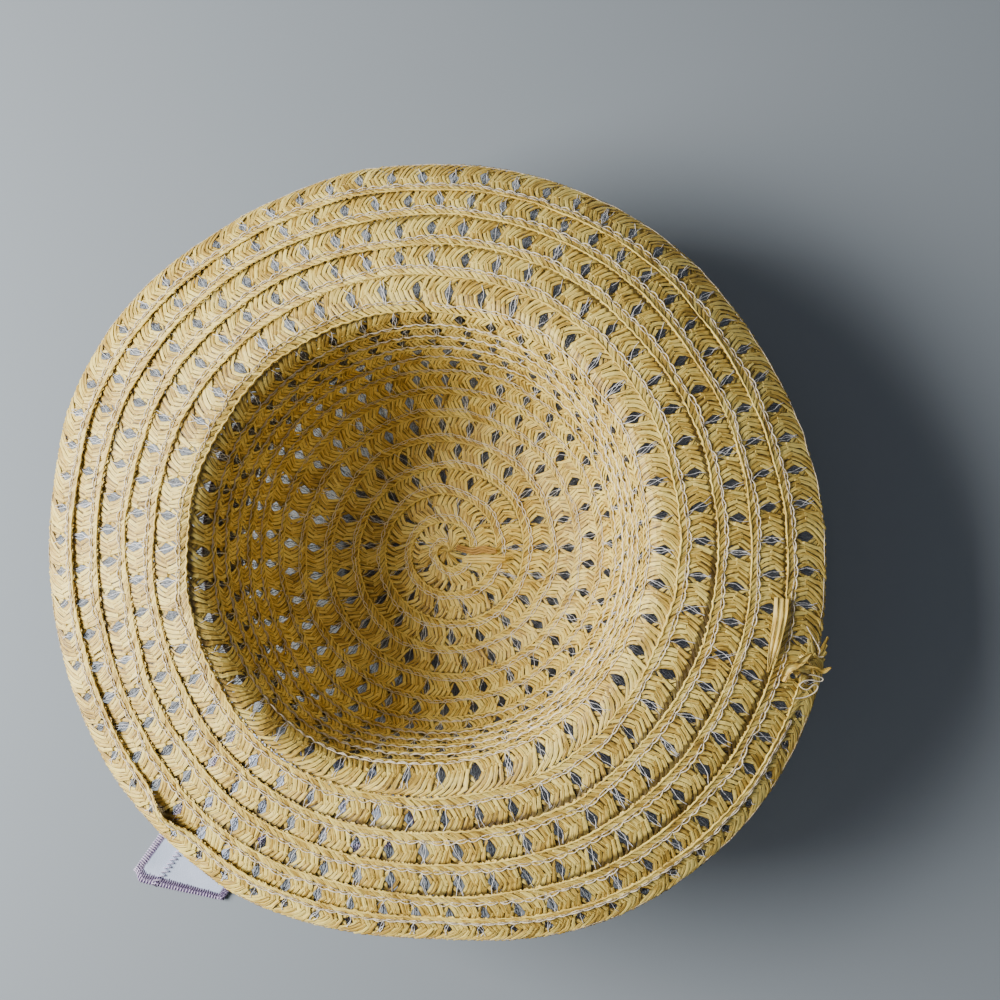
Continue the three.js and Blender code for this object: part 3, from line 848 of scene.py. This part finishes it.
COIL_POINTS = 6  # points that draw a turn of an overlock thread
COIL_SCATTER, COIL_INWARD = 0.12, 0.75
COIL_RISE, COIL_MIDDLE = 0.42, 0.05
END_ROWS = ({"reach": 1.5, "pitch": 1.15, "half": 0.3}, {"reach": 1.3, "pitch": 0.9, "inset": 2.4})
ZIGZAG_STEP, ZIGZAG_ACROSS, ZIGZAG_SWING = 0.9, -0.42, 2.6
ZIGZAG_RISE, ZIGZAG_HALF = 0.75, 0.42


def pleated(width, across):
    """Depth of the pleats that draw the ribbon together to a width."""
    depth = PLEAT_DEPTH * np.sqrt(np.maximum(RIBBON_WIDTH**2 - width**2, 0)) / PLEATS
    return depth * (1 + np.sin(PLEATS * np.pi * across))


def band_surface(along, across):
    """The ribbon round the crown's side, drawn together in pleats at the knot."""
    angle = KNOT_ANGLE + along * 360
    near = np.exp(-((((along + 0.5) % 1 - 0.5) * 360 / GATHER_REACH) ** 2))
    width = RIBBON_WIDTH * (1 - GATHER_SHARE * near)
    middle = BAND_START + RIBBON_WIDTH / 2 + BAND_SWAY * np.sin(np.radians(angle * 2 + 40))
    ripple = np.sin(np.radians(angle * 9) + across * 2.1) * np.cos(np.radians(angle * 5) - across)
    out = BAND_OFFSET - pleated(width, across) - np.abs(BAND_RIPPLE * ripple)
    return wall_point(middle + across * width / 2, angle, out)


def tail_surface(tail):
    """Ribbon tail: gathered at the knot, hanging down, then lying out on the floor with a slant cut.
    Returns its surface and its length."""
    out, height, half = np.transpose(tail["route"])
    steps = np.hypot(np.diff(out), np.diff(height))
    length = np.concatenate([[0], np.cumsum(steps)])
    turn = math.radians(tail["direction"])
    ahead = np.array([math.cos(turn), math.sin(turn), 0])
    aside = np.array([-math.sin(turn), math.cos(turn), 0])
    upward = np.array([0, 0, 1])

    def surface(along, across):
        s = along * length[-1]
        x, x0, x1 = (np.interp(s + step, length, out) for step in (0, -BEND, BEND))
        z, z0, z1 = (np.interp(s + step, length, height) for step in (0, -BEND, BEND))
        x, z = (x + x0 + x1) / 3, (z + z0 + z1) / 3
        size = np.hypot(x1 - x0, z1 - z0)
        width = np.interp(s, length, half) * 2
        waves = (high * np.sin(x / long + slant * across) for high, long, slant in RIPPLES)
        ripple = smoothstep(x, *TAIL_LIES) * sum(waves, RIPPLE_MEAN)
        # Cut at a slant, with its corner rounded off.
        skew = -tail["slant"] * across * (x / out[-1]) ** 4
        skew = skew - CORNER_CUT * smoothstep(-across, 0.72, 1) * (x / out[-1]) ** 6
        normal = (z1 - z0)[..., None] * -ahead / size[..., None] + ((x1 - x0) / size)[..., None] * upward
        base = np.array([*tail["start"], 0]) + (x + skew)[..., None] * ahead
        base = base + (across * width / 2)[..., None] * aside + (z + TAIL_CLEARANCE)[..., None] * upward
        return base + normal * (pleated(width, across) + ripple)[..., None], normal

    return surface, float(length[-1])


def overlock(surface, length, edge, rng, reach=1.6, pitch=0.95, inset=0.0, half=0.27):
    """A thread coiled over a cut edge: edge is -1 or 1 across, or 0 for the far end of the ribbon."""
    turns = int((length if edge else RIBBON_WIDTH) / pitch)
    count = turns * COIL_POINTS + 1
    phase = np.arange(count) / COIL_POINTS * 2 * np.pi
    place = np.linspace(0, 1, count)
    wide = inset + reach * (1 + COIL_SCATTER * rng.normal(0, 1, count)) * (COIL_INWARD + np.cos(phase))
    if edge:
        across, along = edge * (1 - wide / (RIBBON_WIDTH / 2)), place
    else:
        across, along = place * 2 - 1, 1 - wide / length
    points, normals = surface(along, across)
    centre = points + normals * (COIL_RISE * np.sin(phase) + COIL_MIDDLE)[:, None]
    return round_strand(centre, normals, half, rng)


def zigzag(surface, length, rng):
    """A zigzag seam along the ribbon, on its upper face."""
    count = int(length / ZIGZAG_STEP)
    side = np.where(np.arange(count) % 2, 1, -1) * (1 + 0.15 * rng.normal(0, 1, count))
    points, normals = surface(np.linspace(0, 1, count), ZIGZAG_ACROSS + side * ZIGZAG_SWING / RIBBON_WIDTH)
    return round_strand(points + normals * ZIGZAG_RISE, normals, ZIGZAG_HALF, rng)


def knot_mesh():
    """Half knot of the ribbon: a plump wrap with slanting pleats."""
    shape = bmesh.new()
    bmesh.ops.create_uvsphere(shape, u_segments=KNOT_SEGMENTS, v_segments=KNOT_RINGS, radius=0.5)
    # The sphere's faces come in any order, so they are sorted.
    shape.verts.index_update()
    corners = {face: sorted(vert.index for vert in face.verts) for face in shape.faces}
    shape.faces.sort(key=lambda face: corners[face][0] * len(shape.verts) + corners[face][-1])
    where = np.array([vert.co for vert in shape.verts])
    wide, high = where[:, 1] * 2, where[:, 2] * 2
    pleat = KNOT_PLEAT * np.abs(np.sin(4.5 * (high + 0.35 * wide) * np.pi / 2 + 0.4))
    groove = -KNOT_GROOVE * np.exp(-(((wide - 0.15) / 0.12) ** 2))
    where = where * ((1 + pleat + groove - 0.02)[:, None] * np.array(KNOT_SIZE))
    turn = math.radians(KNOT_ANGLE)
    spin = np.array([[math.cos(turn), -math.sin(turn), 0], [math.sin(turn), math.cos(turn), 0], [0, 0, 1]])
    middle, _ = wall_point(np.array([CORNER_END + KNOT_RISE]), np.array([KNOT_ANGLE]), -KNOT_OUT)
    shape.verts.layers.float_vector.new("lie")
    for vert, point in zip(shape.verts, (where @ spin.T + middle[0]) * MM):
        vert.co = point
    return mesh_from(shape, "band_knot_satin", smooth=True)


# ---- loose straw ----

STRIP_LIFT, STRIP_THICKNESS, STRIP_CREASE = 0.45, 0.16, 0.16
STRIP_GRID = (30, 24)
FLAT, FOLDED = (2.5, 2.4, 0.0), (1.5, 1.2, 0.5)  # creases across, folds in its finish, curl of the edges
# Flat ends: what they lie on, how they are folded and, for each strip, its route in x, y, height above
# the straw below and half width.
LOOSE = {
    "start_straw": ("tip", FLAT, [
        [(4, 1.2, -0.4, 1.2), (10.8, -0.5, 0.3, 1.4), (15.5, 0.2, 0.6, 1.5), (21.5, -0.9, 0.2, 1.2)],
    ]),
    "start_straw_2": ("tip", FLAT, [
        [(6.5, -4.3, -0.3, 0.6), (9, -4.0, 1.0, 1.5), (17, -4.0, 1.7, 1.7), (25.6, -4.3, 1.2, 1.75)],
    ]),
    "loose_straw": ("brim", FLAT, [
        [(125.3, -20.5, 0, 2.5), (124.3, -28, 0.5, 2.3), (122.0, -37, 1, 1.8), (119.6, -46, 0.5, 0.5)],
    ]),
    # Ends of the last straws, out past the sewing: a folded one, a curled one, a thin and a short one.
    "frayed_end": ("brim", FOLDED, [
        [(124.6, -46.6, 0.9, 0.9), (127.6, -44.6, 2.4, 1.3), (131.2, -42.2, 3.0, 1.2),
         (135.2, -39.4, 2.2, 0.5)],
        [(134.4, -45.6, 1.8, 1.9), (130.2, -44.2, 3.2, 1.9), (126.6, -44.8, 2.9, 1.6),
         (124.6, -49.0, 0.9, 1.3)],
        [(128.6, -46.4, 1.2, 1.6), (131.5, -44.4, 2.2, 1.2), (135.4, -44.3, 2.8, 0.5),
         (138.6, -45.6, 2.6, 0.9), (142.2, -44.4, 2.9, 0.3)],
        [(131.0, -40.6, 0.8, 1.1), (133.6, -43.0, 2.1, 1.0), (135.8, -46.8, 1.6, 0.6)],
    ]),
}
# Loose ends of thread: one long enough to be a cord, and a short one.
SEWING_THREAD_END = [
    (128.6, -55.1, 0.5), (133.1, -54.6, 0.9), (136.5, -52.9, 1.3), (137.6, -50.9, 1.5),
    (135.9, -50.4, 1.7), (133.4, -52.0, 2.0), (130.9, -50.4, 1.6), (133.6, -48.7, 1.8),
    (138.4, -49.2, 1.9), (139.2, -48.1, 2.2), (136.0, -47.0, 2.2), (133.6, -46.9, 1.7),
]
RIM_THREAD_END = [
    (134.0, -30.2, 0.5), (136.4, -34.4, 0.9), (138.4, -38.3, 1.4), (138.0, -40.6, 1.2),
    (139.6, -40.8, 1.9),
]
THREAD_END_SIZE = 0.4
ROUTE_POINTS = 60
TIP_TOP, BRIM_TOP = 0.7, 1.7  # straw's upper face above the tip's wall, and above the middle of the brim's


def straw_top(on, x, y):
    """Height of the straw's upper face under a point."""
    if on == "tip":
        return np.full(np.shape(x), STRAW_WALL + TIP_TOP)
    angle = np.degrees(np.arctan2(y, x))
    radius = np.hypot(x, y)
    fold, _ = crown_wall(np.full(np.shape(x), CROWN_END), angle)
    share = (radius - fold) / (around(RIM_RADIUS, angle) - fold)
    points, _ = wall_point(CROWN_END + share * brim_width(angle), angle, BRIM_TOP)
    return points[..., 2]


def smooth_route(rows):
    """Rows of a route joined by a smooth curve, at even places."""
    rows = np.asarray(rows, float)
    padded = np.vstack([2 * rows[0] - rows[1], rows, 2 * rows[-1] - rows[-2]])
    place = np.linspace(0, len(rows) - 1 - 1e-9, ROUTE_POINTS)
    k = np.floor(place).astype(int)
    return smooth_curve(*(padded[k + i] for i in range(4)), (place - k)[:, None])


def flat_strip(on, rows, creases, curl, rng):
    """A strip of creased paper along a route: surface for sheet_mesh, cut slantwise at its far end."""
    fine = smooth_route(rows)
    x, y, above, half = fine.T
    path = np.stack([x, y, straw_top(on, x, y) + above + STRIP_LIFT], -1)
    ahead = np.gradient(path, axis=0)
    ahead /= np.linalg.norm(ahead, axis=1, keepdims=True)
    aside = np.cross(ahead, [0, 0, 1])
    aside /= np.linalg.norm(aside, axis=1, keepdims=True)
    crease_at, wave_at, sway_at = rng.normal(0, 1, (4, 3))[:3, 0]
    share = np.linspace(0, 1, ROUTE_POINTS)

    def surface(along, across):
        here, side = (
            np.stack([np.interp(along, share, column) for column in table.T], -1) for table in (path, aside)
        )
        tip = 1 - 0.5 * smoothstep(along, 0.82, 1.0) * (across + 1) / 2
        wide = np.interp(along, share, half) * tip
        up = STRIP_CREASE * np.cos(creases * np.pi * across + crease_at + 3 * along)
        up = up + 0.1 * np.sin(7 * along + wave_at + across * 3)
        up = up + curl * across**2 + 0.2 * np.sin(5 * along * np.pi + sway_at) * across
        points = here + side * (wide * across)[..., None]
        points[..., 2] += up
        return points, np.broadcast_to([0.0, 0.0, 1.0], points.shape)

    return surface


def thread_run(rows, rng):
    """The points and the strand of a loose end of thread, which lies on the brim."""
    route = smooth_route(rows)
    route[:, 2] += straw_top("brim", route[:, 0], route[:, 1])
    upward = np.broadcast_to([0.0, 0.0, 1.0], route.shape)
    return route, round_strand(route, upward, THREAD_END_SIZE / 2, rng, sides=6)


# ---- settings ----


def size(name, description, default):
    return FloatProperty(name=name, description=description, default=default, precision=4, unit="LENGTH")


def colour(name, default):
    return StringProperty(name=name, description="sRGB hex colour", default=default)


class StrawHatSettings(bpy.types.PropertyGroup):
    """Sizes and colours of the hat's looks"""

    braid_width: size("Braid width", "Full width of the plaited braid", 0.015)
    row_pitch: size("Row pitch", "Distance between two sewing lines on the crown", 0.0116)
    lap_rise: size("Lap rise", "How far a round's inner edge stands off its middle", 0.0005)
    yarn_fill: FloatProperty(
        name="Straw fill", description="A straw's width as a share of its room in the plait", default=1.06
    )
    straw_dark: colour("Dark straw", "#7C602A")
    straw_mid: colour("Straw", "#D0AC4A")
    straw_light: colour("Light straw", "#F9E27E")
    plaiting: colour("Plaiting thread", "#F8F8FC")
    sewing: colour("Sewing thread", "#F6EBD2")
    # The ribbon's own colour is a pale blue-white; this darker grey-blue adds painted shade to it.
    satin: colour("Ribbon", "#AAB8D2")
    overlock: colour("Overlock thread", "#D6C8E8")
    key_power: FloatProperty(
        name="Key light", description="Power of the large soft light on the left", default=22.5, unit="POWER"
    )
    sky: FloatProperty(name="Fill", description="Strength of the even light all round", default=0.16)


# ---- operators ----

CROWN_PLAIN, BRIM_PLAIN = 0.1, 0.3
FIRST_STITCH_TURN, LAST_STITCH_TURN = 0.62, LAST_TURN - 0.02
RIM_THREAD_TURNS = ((LAST_TURN - 1.5, EDGE_TURN - 0.03), (EDGE_TURN + 0.03, LAST_TURN - 0.01))
BAND_GRID, TAIL_GRID = (240, 24), (100, 24)
BAND_PITCH = 1.3
GIRTH_POINTS = 721


def place_plait(node, straws, thread_name, threads):
    """The straw pieces of a stretch of braid, and the piece of its plaiting threads."""
    for name, batches in straws.items():
        place_piece(name, strand_mesh(name, batches), "braid", [node])
    place_piece(thread_name, strand_mesh(thread_name, threads, True), "plaiting", [node])


def place_thread(name, strands, key):
    """A piece of thread that no solid stands for."""
    return place_piece(name, strand_mesh(name, strands, True), key)


class HatOperator:
    bl_options = {"REGISTER"}


class HAT_OT_crown(HatOperator, bpy.types.Operator):
    """Plait the crown: straws and plaiting threads from the middle of the tip to the fold"""

    bl_idname = "hat.crown"
    bl_label = "Plaited crown"

    def execute(self, context):
        spiral, rng = Spiral(), np.random.default_rng(11)
        tip, tip_threads = braid_batches(spiral, FIRST_TURN, SIDE_TURN, rng, CROWN_PLAIN)
        tip.append(gathered_start(rng))
        side, side_threads = braid_batches(spiral, SIDE_TURN, BRIM_TURN, rng, CROWN_PLAIN)
        straws = {"crown_tip_straw": tip, "crown_side_straw": side}
        place_plait("crown", straws, "crown_plait_thread", tip_threads + side_threads)
        return {"FINISHED"}


class HAT_OT_brim(HatOperator, bpy.types.Operator):
    """Plait the brim, in an inner and an outer piece"""

    bl_idname = "hat.brim"
    bl_label = "Plaited brim"

    def execute(self, context):
        spiral, rng = Spiral(), np.random.default_rng(12)
        inner, inner_threads = braid_batches(spiral, BRIM_TURN, OUTER_TURN, rng, BRIM_PLAIN)
        outer, outer_threads = braid_batches(spiral, OUTER_TURN, EDGE_TURN, rng, BRIM_PLAIN)
        straws = {"brim_inner_straw": inner, "brim_outer_straw": outer}
        place_plait("brim", straws, "brim_plait_thread", inner_threads + outer_threads)
        return {"FINISHED"}


class HAT_OT_edge(HatOperator, bpy.types.Operator):
    """Plait the last half round, which is doubled on the rim"""

    bl_idname = "hat.edge"
    bl_label = "Edge braid"

    def execute(self, context):
        spiral, rng = Spiral(), np.random.default_rng(13)
        straws, threads = braid_batches(spiral, EDGE_TURN, LAST_TURN, rng, BRIM_PLAIN)
        place_plait("edge_braid", {"edge_straw": straws}, "edge_plait_thread", threads)
        return {"FINISHED"}


class HAT_OT_stitching(HatOperator, bpy.types.Operator):
    """Sew the rounds together with a chain stitch"""

    bl_idname = "hat.stitching"
    bl_label = "Chain stitch"

    def execute(self, context):
        spiral, rng = Spiral(), np.random.default_rng(14)
        crown = chain_stitch(spiral, FIRST_STITCH_TURN, BRIM_TURN, rng)
        place_thread("crown_stitching", crown, "sewing")
        brim = chain_stitch(spiral, BRIM_TURN, LAST_STITCH_TURN, rng)
        brim.extend(rim_thread(spiral, *turns, rng) for turns in RIM_THREAD_TURNS)
        brim.append(thread_run(RIM_THREAD_END, rng)[1])
        place_thread("brim_stitching", brim, "sewing")
        return {"FINISHED"}


class HAT_OT_loose_straw(HatOperator, bpy.types.Operator):
    """Lay the loose flat straws on the tip and the brim"""

    bl_idname = "hat.loose_straw"
    bl_label = "Loose straws"

    def execute(self, context):
        rng = np.random.default_rng(15)
        for name, (on, (creases, folds, curl), strips) in LOOSE.items():
            if len(strips) > 1:
                rng.normal(0, 1, (4, 3))  # spare draws, so that the strips keep their unevenness
            surfaces = [flat_strip(on, rows, creases, curl, rng) for rows in strips]
            meshes = [
                sheet_mesh(name, surface, STRIP_GRID, folds=folds, seed=order)
                for order, surface in enumerate(surfaces)
            ]
            paper = "worn" if name == "start_straw" else "loose"
            piece = place_piece(name + "_paper", join_meshes(name, meshes), paper, [name])
            thicken(piece, STRIP_THICKNESS)
        route, strand = thread_run(SEWING_THREAD_END, rng)
        piece = place_thread("sewing_thread_end", [strand], "sewing")
        return {"FINISHED"}


class HAT_OT_ribbon(HatOperator, bpy.types.Operator):
    """Wind the satin ribbon round the crown, tie it and lay its tails out"""

    bl_idname = "hat.ribbon"
    bl_label = "Satin ribbon"

    def execute(self, context):
        rng = np.random.default_rng(16)
        middle, _ = band_surface(np.linspace(0, 1, GIRTH_POINTS), np.zeros(GIRTH_POINTS))
        girth = float(np.linalg.norm(np.diff(middle, axis=0), axis=1).sum())
        mesh = sheet_mesh("hatband_satin", band_surface, BAND_GRID, closed=True)
        band = place_piece("hatband_satin", mesh, "ribbon", ["hatband"])
        thicken(band, RIBBON_THICKNESS)
        edges = [overlock(band_surface, girth, edge, rng, pitch=BAND_PITCH) for edge in (-1, 1)]
        hem = place_thread("hatband_overlock", edges, "overlock")
        for name, tail in (("ribbon_tail_long", LONG_TAIL), ("ribbon_tail_short", SHORT_TAIL)):
            surface, length = tail_surface(tail)
            mesh = sheet_mesh(name, surface, TAIL_GRID)
            piece = place_piece(name + "_satin", mesh, "tail", [name])
            thicken(piece, RIBBON_THICKNESS)
            edges = [overlock(surface, length, edge, rng) for edge in (-1, 1)]
            edges.extend(overlock(surface, length, 0, rng, **row) for row in END_ROWS)
            edges.append(zigzag(surface, length, rng))
            hem = place_thread(name + "_overlock", edges, "overlock")
        place_piece("band_knot_satin", knot_mesh(), "ribbon", ["band_knot"])
        return {"FINISHED"}


# The stage, in metres and degrees. A lamp's azimuth, elevation, distance and size.
FLOOR_SIZE = 3.0
KEY, KEY_COLOUR = (180, 38, 0.9, 0.5), "#FFFBF4"
FILL, FILL_COLOUR, FILL_SHARE = (60, 70, 1.8, 1.2), "#F2F6FF", 0.03
SKY_COLOUR = "#F4F6FF"
CAMERA_PLACE = (0.048833, -0.023727, 0.464175)
CAMERA_RIGHT, CAMERA_UP = (0.998409, 0.0055, -0.056123), (0.0, 0.995233, 0.097525)
CAMERA_BACK = (0.056392, -0.09737, 0.993649)
SENSOR_WIDTH, LENS = 36.0, 38.88
CLIP = (0.01, 20.0)


def frame_matrix(right, up, back, place):
    """Matrix of a lamp or a camera from its axes and its place."""
    rows = [[float(column[i]) for column in (right, up, back, place)] for i in range(3)]
    return Matrix([*rows, [0, 0, 0, 1]])


def place_on_stage(name, data, matrix=None):
    """An object of the stage, which is no piece of the hat."""
    made = bpy.data.objects.new(name, data)
    bpy.context.scene.collection.objects.link(made)
    if matrix is not None:
        made.matrix_world = matrix
    return made


def place_lamp(name, azimuth, elevation, distance, size, power, light_colour):
    """A square lamp that shines on the hat from a distance."""
    lamp = bpy.data.lights.new(name, "AREA")
    lamp.energy, lamp.size, lamp.color = power, size, linear(light_colour)[:3]
    a, e = math.radians(azimuth), math.radians(elevation)
    towards = np.array([math.cos(a) * math.cos(e), math.sin(a) * math.cos(e), math.sin(e)])
    back = towards / np.linalg.norm(towards)
    right = np.cross([0, 0, 1], back)
    right /= np.linalg.norm(right)
    matrix = frame_matrix(right, np.cross(back, right), back, towards * distance)
    place_on_stage(name, lamp, matrix)


class HAT_OT_stage(HatOperator, bpy.types.Operator):
    """Set the pale floor, the soft light and the camera"""

    bl_idname = "hat.stage"
    bl_label = "Stage"

    def execute(self, context):
        scene = context.scene
        shape = bmesh.new()
        bmesh.ops.create_grid(shape, x_segments=1, y_segments=1, size=FLOOR_SIZE)
        floor = mesh_from(shape, "floor")
        floor.materials.append(finish("floor"))
        place_on_stage("floor", floor)
        power = settings().key_power
        place_lamp("key light", *KEY, power, KEY_COLOUR)
        place_lamp("fill light", *FILL, power * FILL_SHARE, FILL_COLOUR)
        scene.world = bpy.data.worlds.new("even room light")
        scene.world.use_nodes = True
        tree = scene.world.node_tree
        tree.nodes.clear()
        even = add_node(tree, "Background", {"Color": linear(SKY_COLOUR), "Strength": settings().sky})
        add_node(tree, "OutputWorld", {"Surface": even})
        camera = bpy.data.cameras.new("camera")
        camera.sensor_width, camera.lens = SENSOR_WIDTH, LENS
        camera.clip_start, camera.clip_end = CLIP
        matrix = frame_matrix(CAMERA_RIGHT, CAMERA_UP, CAMERA_BACK, CAMERA_PLACE)
        scene.camera = place_on_stage("camera", camera, matrix)
        return {"FINISHED"}


class HAT_PT_panel(bpy.types.Panel):
    """Straw hat panel in the 3D view's sidebar"""

    bl_idname = "HAT_PT_panel"
    bl_label = "Straw hat"
    bl_space_type = "VIEW_3D"
    bl_region_type = "UI"
    bl_category = "Straw hat"

    def draw(self, context):
        for key in StrawHatSettings.__annotations__:
            self.layout.prop(settings(), key)
        for operator in OPERATORS:
            self.layout.operator(operator.bl_idname)


OPERATORS = (
    HAT_OT_crown,
    HAT_OT_brim,
    HAT_OT_edge,
    HAT_OT_stitching,
    HAT_OT_loose_straw,
    HAT_OT_ribbon,
    HAT_OT_stage,
)
CLASSES = (StrawHatSettings, *OPERATORS, HAT_PT_panel)


def register():
    for item in CLASSES:
        bpy.utils.register_class(item)
    bpy.types.Scene.straw_hat = PointerProperty(type=StrawHatSettings)


def unregister():
    del bpy.types.Scene.straw_hat
    for item in reversed(CLASSES):
        bpy.utils.unregister_class(item)


def main():
    register()
    bpy.ops.hat.crown()
    bpy.ops.hat.brim()
    bpy.ops.hat.edge()
    bpy.ops.hat.stitching()
    bpy.ops.hat.loose_straw()
    bpy.ops.hat.ribbon()
    bpy.ops.hat.stage()


if __name__ == "__main__":
    main()
